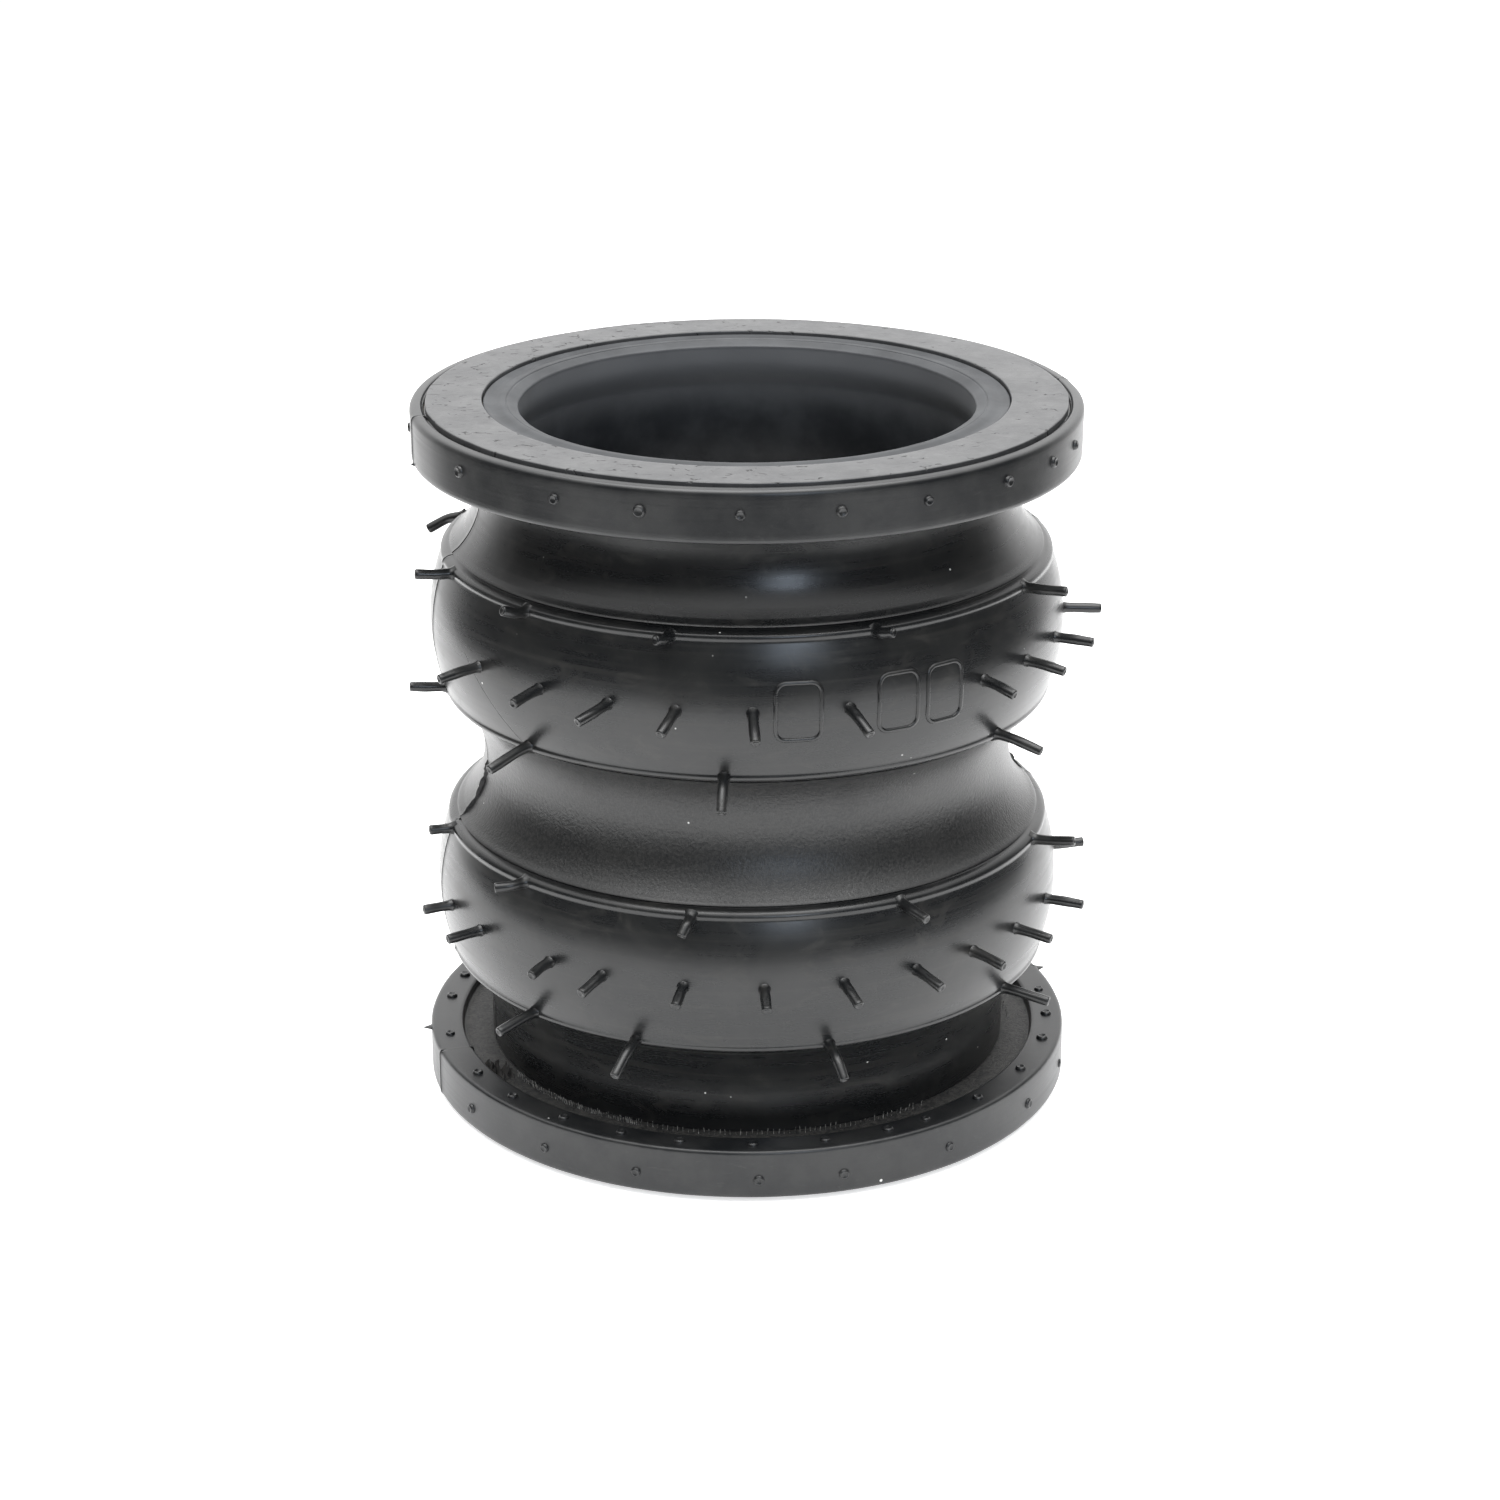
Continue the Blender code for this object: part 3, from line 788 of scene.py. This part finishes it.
def torn_edge(count, least, most):
    """Heights of a torn edge: it wanders, with a few sudden steps."""
    heights = []
    height = (least + most) / 2
    for i in range(count):
        height += random.uniform(-0.5, 0.5) * (most - least)
        if random.random() < 0.12:
            height = random.uniform(least, most)
        height = min(most, max(least, height))
        fade = min(1.0, 8 * i / count, 8 * (count - 1 - i) / count)
        heights.append(height * fade * MM)
    return heights


def waist_flash(finish):
    """Leaf of flash in the lower half of the waist, where the mould halves met."""
    band = band_named("lower_arch_top")
    low, high = below(CROWN) + ARCH_HALF + 0.5 * MM, WAIST - 0.4 * MM
    rows = np.linspace(low, high, 40)
    shapes = []
    for seam in SEAMS:
        out = outward(seam)
        places = [out * float(wave(z)) + Vector((0, 0, z)) for z in rows]
        shapes.append(ragged_strip(places, [out] * len(rows), torn_edge(len(rows), 0.9, 1.6), 1.3 * MM))
    piece = piece_from("waist_flash", joined(shapes), finish)
    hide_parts("waist_cover")
    give(piece, band)


def rim_flash(finish):
    """Tabs of flash at the edges of the flange rims, close to the seams."""
    for end, middles, most in (("lower", (-82.5, 108.5), 3.0), ("upper", SEAMS, 1.2)):
        z = FLANGE_THICKNESS - 1.0 * MM if end == "lower" else RIM_LOW.z + 1.0 * MM
        shapes = []
        for middle in middles:
            turns = [middle - 0.9 + 0.1 * i for i in range(19)]
            places = [outward(turned) * (FLANGE_RADIUS - 0.3 * MM) + Vector((0, 0, z)) for turned in turns]
            heights = [max(0.1, most * (1 - abs(i - 9) / 9) ** 0.8) * MM for i in range(19)]
            shapes.append(ragged_strip(places, [outward(turned) for turned in turns], heights, 0.9 * MM))
        piece = piece_from(f"{end}_rim_flash", joined(shapes), finish)
        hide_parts(f"{end}_flange_rim")
        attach(piece, f"{end}_flange")


def groove_flash(finish):
    """Ragged black leaves of flash standing in the lower flange's groove, most of them at its left."""
    shapes = []
    leaves = (
        (-66, -56, 94.0, 3.8), (-64, -57.5, 92.4, 4.6), (-62.5, -58, 90.8, 4.2), (-61, -57.5, 89.2, 3.0),
        (-55, -44, 94.2, 1.6), (118, 131, 93.7, 3.4), (-160, -148, 93.8, 3.0),
    )
    for start, stop, radius, most in leaves:
        turns = np.arange(start, stop, 0.25)
        places = [outward(turned) * radius * MM + Vector((0, 0, GROOVE_FLOOR)) for turned in turns]
        up = [(Vector((0, 0, 1)) - outward(turned) * random.uniform(0, 0.5)).normalized() for turned in turns]
        shapes.append(ragged_strip(places, up, torn_edge(len(turns), 0.6, most), 0.7 * MM))
    piece = piece_from("lower_groove_flash", joined(shapes), finish)
    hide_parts("lower_flange_rim")
    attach(piece, "lower_flange")


def loose_cords(end, azimuths, finish):
    """Frayed ends of the wall's cords, standing like a comb in the flange's groove at the neck's root."""
    up = Vector((0, 0, 1 if end == "lower" else -1))
    z = GROOVE_FLOOR if end == "lower" else FACE_TO_FACE - GROOVE_FLOOR
    shapes = []
    for azimuth in azimuths:
        azimuth += random.uniform(-0.12, 0.12)
        radius = random.uniform(87.2, 87.8) * MM
        length = random.uniform(1.5, 2.9) * MM
        lean = outward(azimuth) * random.uniform(0.1, 0.6) + sideways(azimuth) * random.uniform(-0.25, 0.25)
        rings = []
        place = outward(azimuth) * radius + Vector((0, 0, z)) - up * 0.4 * MM
        for k in range(4):
            ahead = (up + lean * (k / 3)).normalized()
            rings.append((place.copy(), ahead, 0.14 * MM * (1 - 0.12 * k)))
            place = place + ahead * length / 3
        shapes.append(rod(rings, 5))
    piece = piece_from(f"{end}_loose_cords", joined(shapes), finish)
    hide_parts(f"{end}_flange_rim")
    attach(piece, f"{end}_flange")


# ------------------------------------------------------------------ finishes


class Value:
    """A shader value. Arithmetic on it adds the Math node that does the sum."""

    def __init__(self, socket):
        self.socket = socket

    def sum(self, operation, *terms):
        return add(self.socket.id_data, "ShaderNodeMath", {"operation": operation}, dict(enumerate(terms)))

    def __add__(self, other):
        return self.sum("ADD", self, other)

    def __radd__(self, other):
        return self.sum("ADD", other, self)

    def __sub__(self, other):
        return self.sum("SUBTRACT", self, other)

    def __rsub__(self, other):
        return self.sum("SUBTRACT", other, self)

    def __mul__(self, other):
        return self.sum("MULTIPLY", self, other)

    def __rmul__(self, other):
        return self.sum("MULTIPLY", other, self)

    def __truediv__(self, other):
        return self.sum("DIVIDE", self, other)

    def __pow__(self, other):
        return self.sum("POWER", self, other)

    def absolute(self):
        return self.sum("ABSOLUTE", self)

    def ramp(self, low, high):
        """0 below low and 1 above high, smooth between; low may be the larger."""
        sockets = {"Value": self, "From Min": low, "From Max": high}
        return add(self.socket.id_data, "ShaderNodeMapRange", {"interpolation_type": "SMOOTHSTEP"}, sockets)


def add(tree, kind, settings=None, sockets=None, output=0):
    """One node: its settings first, then the values or links of its sockets. Returns one output."""
    node = tree.nodes.new(kind)
    for key, value in (settings or {}).items():
        setattr(node, key, value)
    for key, value in (sockets or {}).items():
        if isinstance(value, Value):
            tree.links.new(value.socket, node.inputs[key])
        else:
            node.inputs[key].default_value = value
    return Value(node.outputs[output])


class Finish:
    """A material in the making, with the patterns that the rubbers share."""

    def __init__(self, name):
        self.material = bpy.data.materials.new(name)
        self.material.use_nodes = True
        self.tree = self.material.node_tree
        self.shader = self.tree.nodes["Principled BSDF"]
        self.place = self.add("ShaderNodeAttribute", {"attribute_name": "rest_place"}, output="Vector")

    def add(self, kind, settings=None, sockets=None, output=0):
        return add(self.tree, kind, settings, sockets, output)

    def stretched(self, x, y, z):
        """The resting place, scaled by so much along each axis."""
        return self.add("ShaderNodeVectorMath", {"operation": "MULTIPLY"}, {0: self.place, 1: (x, y, z)})

    def noise(self, size, detail=3.0, roughness=0.5, where=None, distortion=0.0):
        """Noise from 0 to 1 whose patches are about size metres across, or 1 unit of a stretched place."""
        scale = 1.0 if where else 1 / size
        sockets = {"Vector": where or self.place, "Scale": scale, "Detail": detail, "Roughness": roughness,
                   "Distortion": distortion}
        return self.add("ShaderNodeTexNoise", None, sockets)

    def axis(self, letter):
        return self.add("ShaderNodeSeparateXYZ", None, {0: self.place}, output=letter)

    def across(self):
        """Distance from the bore's axis."""
        flat = self.stretched(1, 1, 0)
        return self.add("ShaderNodeVectorMath", {"operation": "LENGTH"}, {0: flat}, "Value")

    def colour(self, share, first, second):
        """One colour turning to another as share goes from 0 to 1."""
        ends = {0: share, 6: first if isinstance(first, Value) else (*first, 1)}
        ends[7] = second if isinstance(second, Value) else (*second, 1)
        return self.add("ShaderNodeMix", {"data_type": "RGBA"}, ends, output=2)

    def set(self, **values):
        """Sockets of the shader: links for what varies, plain values for what doesn't."""
        for key, value in values.items():
            socket = self.shader.inputs[key.replace("_", " ").title().replace("Ior", "IOR")]
            if isinstance(value, Value):
                self.tree.links.new(value.socket, socket)
            else:
                socket.default_value = value

    def relief(self, height):
        """Bump from a height in metres."""
        settings = {"Strength": 1.0, "Distance": 1.0, "Height": height}
        bumped = self.add("ShaderNodeBump", None, settings, "Normal")
        self.set(Normal=bumped)


def dust(finish, size=7 * MM):
    """A mask of a few pale specks."""
    spread = finish.add("ShaderNodeTexVoronoi", {"voronoi_dimensions": "3D"},
                        {"Vector": finish.place, "Scale": 1 / size, "Randomness": 1.0})
    chosen = finish.noise(size * 1.7, 0.0)
    return spread.ramp(0.06, 0.03) * chosen.ramp(0.6, 0.64)


def scratch_mask(finish):
    """One long slanting scratch on the left of the upper arch."""
    y = finish.axis("Y") * -1.0
    azimuth = finish.add("ShaderNodeMath", {"operation": "ARCTAN2"}, {0: finish.axis("X"), 1: y})
    line = CROWN + (azimuth + math.radians(57)) * -0.093
    near = (finish.axis("Z") - line + finish.noise(4 * MM, 2.0) * 0.0004).absolute().ramp(0.00032, 0.0001)
    first = azimuth.ramp(math.radians(-59), math.radians(-57))
    last = azimuth.ramp(math.radians(-43), math.radians(-45))
    return near * first * last


def cover_finish():
    """Satin black cover: polish streaks round the arches, a matt grained waist, grey bloom and dust."""
    made = Finish("cover_rubber")
    z = made.axis("Z")
    from_waist = (z - WAIST).absolute()
    waist = from_waist.ramp(VALLEY_HALF - 0.001, VALLEY_HALF - 0.003)
    streaks = made.noise(1, 4.0, 0.6, made.stretched(14, 14, 620))
    wide_streaks = made.noise(1, 3.0, 0.55, made.stretched(9, 9, 130))
    clouds = made.noise(26 * MM, 4.0, 0.6, distortion=0.6)
    grain = made.noise(1.0 * MM, 3.0, 0.65)
    polish = made.noise(1, 4.0, 0.65, made.stretched(8, 8, 460)).ramp(0.5, 0.72)
    smears = made.noise(1, 5.0, 0.65, made.stretched(60, 60, 130), distortion=1.2).ramp(0.52, 0.72)
    specks = dust(made)
    bloom = clouds.ramp(0.42, 0.7) * (0.35 + wide_streaks * 0.9)
    base = made.colour(bloom, (0.0085, 0.0092, 0.0098), (0.018, 0.0182, 0.0178))
    base = made.colour(polish * 0.4, base, (0.028, 0.027, 0.0248))
    base = made.colour(smears * 0.35, base, (0.04, 0.038, 0.034))
    base = made.colour(waist * (0.2 + grain.ramp(0.4, 0.62) * 0.8), base, (0.026, 0.0258, 0.025))
    base = made.colour(specks, base, (0.75, 0.75, 0.72))
    gloss = 0.19 + streaks * 0.09 + clouds * 0.09 + smears * 0.05 + polish * 0.05
    gloss = gloss * (1 - waist) + (0.3 + grain * 0.12) * waist
    lift = (streaks * 4e-6 + wide_streaks * 1.4e-5) * (1 - waist) + grain * (8e-6 + waist * 1.5e-4)
    lift = lift + clouds * 6e-5 + smears * 4e-6
    scratch = scratch_mask(made)
    base = made.colour(scratch * 0.8, base, (0.002, 0.002, 0.002))
    lift = lift - scratch * 1.5e-4
    made.set(base_color=base, roughness=gloss, ior=1.52, specular_ior_level=0.5)
    made.relief(lift)
    return made.material


def flange_finish():
    """The flange's rubber: brushed round its edge, scuffed, with fine pits."""
    made = Finish("flange_rubber")
    streaks = made.noise(1, 4.0, 0.6, made.stretched(12, 12, 900))
    clouds = made.noise(18 * MM, 4.0, 0.6)
    grain = made.noise(0.4 * MM, 2.0, 0.6)
    scuffs = made.noise(1, 5.0, 0.7, made.stretched(120, 120, 420), distortion=1.5).ramp(0.58, 0.74)
    specks = dust(made, 11 * MM)
    base = made.colour(clouds.ramp(0.35, 0.7), (0.007, 0.0078, 0.0088), (0.02, 0.0205, 0.0205))
    base = made.colour(scuffs * 0.35, base, (0.045, 0.045, 0.043))
    groove = made.across().ramp(LIP_INNER, LIP_INNER - 1.5 * MM)
    groove = groove * made.across().ramp(BORE_RADIUS, NECK_RADIUS)
    fibres = made.noise(1, 4.0, 0.7, made.stretched(420, 420, 90), distortion=2.0)
    base = made.colour(groove * fibres.ramp(0.35, 0.65), base, (0.062, 0.06, 0.056))
    base = made.colour(specks, base, (0.75, 0.75, 0.72))
    made.set(base_color=base, roughness=0.22 + streaks * 0.14 + clouds * 0.1 + groove * 0.25, ior=1.52)
    made.relief(streaks * 2.2e-5 + grain * 1.6e-5 + clouds * 5e-5 + groove * fibres * 2e-4)
    return made.material


def facing_finish():
    """The sealing face: a flat dark grey with scuffs, small dark nicks and a skinned surface."""
    made = Finish("facing_rubber")
    clouds = made.noise(14 * MM, 4.0, 0.6)
    grain = made.noise(0.5 * MM, 3.0, 0.6)
    worn = made.noise(5 * MM, 5.0, 0.7, distortion=1.0)
    bent = made.add("ShaderNodeVectorMath", {"operation": "ADD"}, {
        0: made.stretched(0.7, 1.5, 1), 1: made.noise(5 * MM, 2.0) * 0.004})
    edges = {"feature": "DISTANCE_TO_EDGE"}
    crack = made.add("ShaderNodeTexVoronoi", edges, {"Vector": bent, "Scale": 210.0})
    leftward = made.axis("X").ramp(0.06, -0.05)
    where = (made.noise(4.5 * MM, 2.0, 0.5) + leftward * 0.05).ramp(0.61, 0.68)
    cracks = crack.ramp(0.06, 0.02) * where
    base = made.colour(clouds.ramp(0.3, 0.7), (0.034, 0.035, 0.037), (0.062, 0.063, 0.064))
    base = made.colour(worn.ramp(0.6, 0.75) * 0.4, base, (0.1, 0.1, 0.098))
    base = made.colour(cracks, base, (0.008, 0.008, 0.008))
    made.set(base_color=base, roughness=0.27 + worn * 0.2 + cracks * 0.2, ior=1.5)
    made.relief(grain * 2.2e-5 + worn * 6e-5 + clouds * 1.2e-4 - cracks * 2e-4)
    return made.material


def liner_finish():
    """The liner: smooth, faintly cloudy, wiped marks running up the bore, with a band of painted light near each
    end.
    """
    made = Finish("tube_rubber")
    wipes = made.noise(1, 4.0, 0.6, made.stretched(160, 160, 30))
    rings = made.noise(1, 3.0, 0.5, made.stretched(20, 20, 260))
    clouds = made.noise(22 * MM, 4.0, 0.6)
    from_waist = (made.axis("Z") - WAIST).absolute()
    # Painted light: a pale band on the bore's wall, palest 4 to 6 mm below each sealing face and fading out by 27
    # mm, standing in for light that falls into the bore from above.
    painted_light_band = from_waist.ramp(WAIST - 27 * MM, WAIST - 6 * MM) * from_waist.ramp(WAIST - 2 * MM, WAIST - 4 * MM)
    base = made.colour(clouds.ramp(0.35, 0.7), (0.012, 0.014, 0.017), (0.034, 0.037, 0.041))
    base = made.colour(painted_light_band, base, (0.15, 0.155, 0.162))
    made.set(base_color=base, roughness=0.42 + wipes * 0.14 + rings * 0.1, ior=1.5)
    made.relief(wipes * 1.2e-5 + rings * 2.5e-5 + clouds * 6e-5)
    return made.material


def filler_finish():
    made = Finish("filler_rubber")
    crumbs = made.noise(1.2 * MM, 4.0, 0.7)
    clouds = made.noise(9 * MM, 3.0, 0.6)
    base = made.colour(clouds, (0.022, 0.021, 0.02), (0.05, 0.047, 0.043))
    made.set(base_color=base, roughness=0.72 + crumbs * 0.2, ior=1.5)
    made.relief(crumbs * 1.5e-4)
    return made.material


def cord_finish():
    """Nylon cords side by side, crossed by fine weft threads and soaked with rubber."""
    made = Finish("nylon_cord")
    x, y, z = made.axis("X"), made.axis("Y"), made.axis("Z")
    around = made.add("ShaderNodeMath", {"operation": "ARCTAN2"}, {0: x, 1: y}) * 0.08
    warp = made.add("ShaderNodeMath", {"operation": "SINE"}, {0: (around + z * 0.9) * 5200.0})
    weft = made.add("ShaderNodeMath", {"operation": "SINE"}, {0: (around - z * 0.9) * 900.0})
    rubbed = made.noise(7 * MM, 4.0, 0.6)
    base = made.colour(warp * 0.5 + 0.5, (0.19, 0.16, 0.11), (0.5, 0.45, 0.35))
    base = made.colour(rubbed.ramp(0.45, 0.65) * 0.7, base, (0.05, 0.048, 0.045))
    made.set(base_color=base, roughness=0.78 + rubbed * 0.15, ior=1.5)
    made.relief(warp * 1.4e-4 + weft * 4e-5)
    return made.material


def frayed_finish():
    """Loose cord ends: dusty and pale, darker where rubber still clings to them."""
    made = Finish("frayed_cord")
    clung = made.noise(1.5 * MM, 3.0, 0.6)
    base = made.colour(clung.ramp(0.4, 0.62), (0.46, 0.45, 0.42), (0.08, 0.08, 0.078))
    made.set(base_color=base, roughness=0.7 + clung * 0.2)
    made.relief(clung * 3e-5)
    return made.material


def steel_finish():
    """Bronze-plated bead wire, drawn lengthwise."""
    made = Finish("bead_steel")
    drawn = made.noise(1, 3.0, 0.6, made.stretched(40, 40, 1400))
    stain = made.noise(6 * MM, 4.0, 0.6)
    base = made.colour(stain.ramp(0.4, 0.75), (0.62, 0.52, 0.38), (0.4, 0.3, 0.2))
    made.set(base_color=base, roughness=0.28 + drawn * 0.18 + stain * 0.1, metallic=1.0)
    made.relief(drawn * 4e-5)
    return made.material


def carried_over_finishes(filler, cord, steel):
    """New finishes for the pieces inside the flanges and waist whose shape is already right."""
    for end in ("lower", "upper"):
        layers = ((f"{end}_bead_wire", steel), (f"{end}_bead_wrap", cord), (f"{end}_bead_filler", filler))
        for node, finish in layers:
            paint_node(node, finish)
    paint_node("waist_hoop", steel)


def paint_node(node, finish):
    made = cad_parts[node]
    set_rest_place(made.data)
    for slot in made.material_slots:
        slot.material = finish


# ------------------------------------------------------------------ floor, light and camera


def studio():
    floor_mesh = bpy.data.meshes.new("floor")
    left, front, back = -0.6, -0.62, 2.6
    corners = [(left, front, 0), (-left, front, 0), (-left, back, 0), (left, back, 0)]
    floor_mesh.from_pydata(corners, [], [(0, 1, 2, 3)])
    floor = bpy.data.objects.new("floor", floor_mesh)
    floor.location.z = -0.2 * MM
    bpy.context.collection.objects.link(floor)
    pale = Finish("pale_floor")
    pale.set(base_color=(0.9, 0.9, 0.9, 1), roughness=0.9)
    pale.set(emission_color=(1, 1, 1, 1), emission_strength=0.62)
    floor_mesh.materials.append(pale.material)

    world = bpy.data.worlds.new("studio")
    bpy.context.scene.world = world
    world.use_nodes = True
    tree = world.node_tree
    direction = add(tree, "ShaderNodeTexCoord", None, None, "Generated")
    y = add(tree, "ShaderNodeSeparateXYZ", None, {0: direction}, "Y")
    z = add(tree, "ShaderNodeSeparateXYZ", None, {0: direction}, "Z")
    behind = y.ramp(0.36, 0.86)
    above = z.ramp(0.45, 0.82)
    glow = 0.08 + behind * 1.6 + above * (1 - behind) * 1.9
    seen = add(tree, "ShaderNodeLightPath", None, None, "Is Camera Ray")
    strength = glow * (1 - seen) + seen * 1.05
    back = tree.nodes["Background"]
    back.inputs["Color"].default_value = (1, 1, 1, 1)
    tree.links.new(strength.socket, back.inputs["Strength"])


def area_light(name, place, aim, width, height, watts, colour=(1, 1, 1)):
    data = bpy.data.lights.new(name, "AREA")
    data.shape = "RECTANGLE"
    data.size, data.size_y = width, height
    data.energy = watts
    data.color = colour
    light = bpy.data.objects.new(name, data)
    light.location = place
    light.rotation_euler = (Vector(aim) - Vector(place)).to_track_quat("-Z", "Y").to_euler()
    bpy.context.collection.objects.link(light)


def lights():
    centre = (0, 0, WAIST)
    area_light("overhead", (0, 0, 1.5), centre, 1.3, 1.3, 24)
    area_light("window", (0.42, -1.45, 0.72), centre, 0.34, 0.5, 3.8, (0.74, 0.85, 1.0))


def camera():
    data = bpy.data.cameras.new("camera")
    data.lens = 81.2
    data.sensor_width = 36
    made = bpy.data.objects.new("camera", data)
    made.location = (0, -1.0373, 0.5014)
    made.rotation_euler = (math.radians(90 - 20.68), 0, -0.001)
    bpy.context.collection.objects.link(made)
    bpy.context.scene.camera = made


# ------------------------------------------------------------------ the whole joint


camera()
cover, flange, facing, liner = cover_finish(), flange_finish(), facing_finish(), liner_finish()
filler, cord, steel, frayed = filler_finish(), cord_finish(), steel_finish(), frayed_finish()

cover_bands(cover)
tube_bands(liner)
ply_bands("outer_cord_ply", OUTER_PLY, cord)
ply_bands("inner_cord_ply", INNER_PLY, cord)
for end in ("lower", "upper"):
    ply_end(end, "inner_cord_ply", INNER_PLY, FACING_THICKNESS + CLEAR, FLANGE_RADIUS - 2.5 * MM, cord)
    ply_end(end, "outer_cord_ply", OUTER_PLY, GROOVE_FLOOR - 2.7 * MM, FLANGE_RADIUS - 10.4 * MM, cord)
    flange_rim(end, flange)
    sealing_face(end, facing)
    liner_end(end, liner)
    rim_nubs(end, flange)
    back_nubs(end, flange)
    crown_pips(end, cover)
for name in RIB_PIPS:
    rib_pips(name, cover)
for half in ("upper_arch_top", "upper_arch_bottom"):
    raised_marks(half, cover)
waist_flash(cover)
rim_flash(flange)
groove_flash(filler)
comb = list(np.arange(-58, -22, 0.38)) + list(np.arange(-21, 40, 1.1)) + list(np.arange(90, 250, 2.3))
loose_cords("lower", comb, frayed)
loose_cords("upper", np.arange(0, 360, 3.7), frayed)
carried_over_finishes(filler, cord, steel)

studio()
lights()
bpy.context.scene.view_settings.view_transform = "Standard"
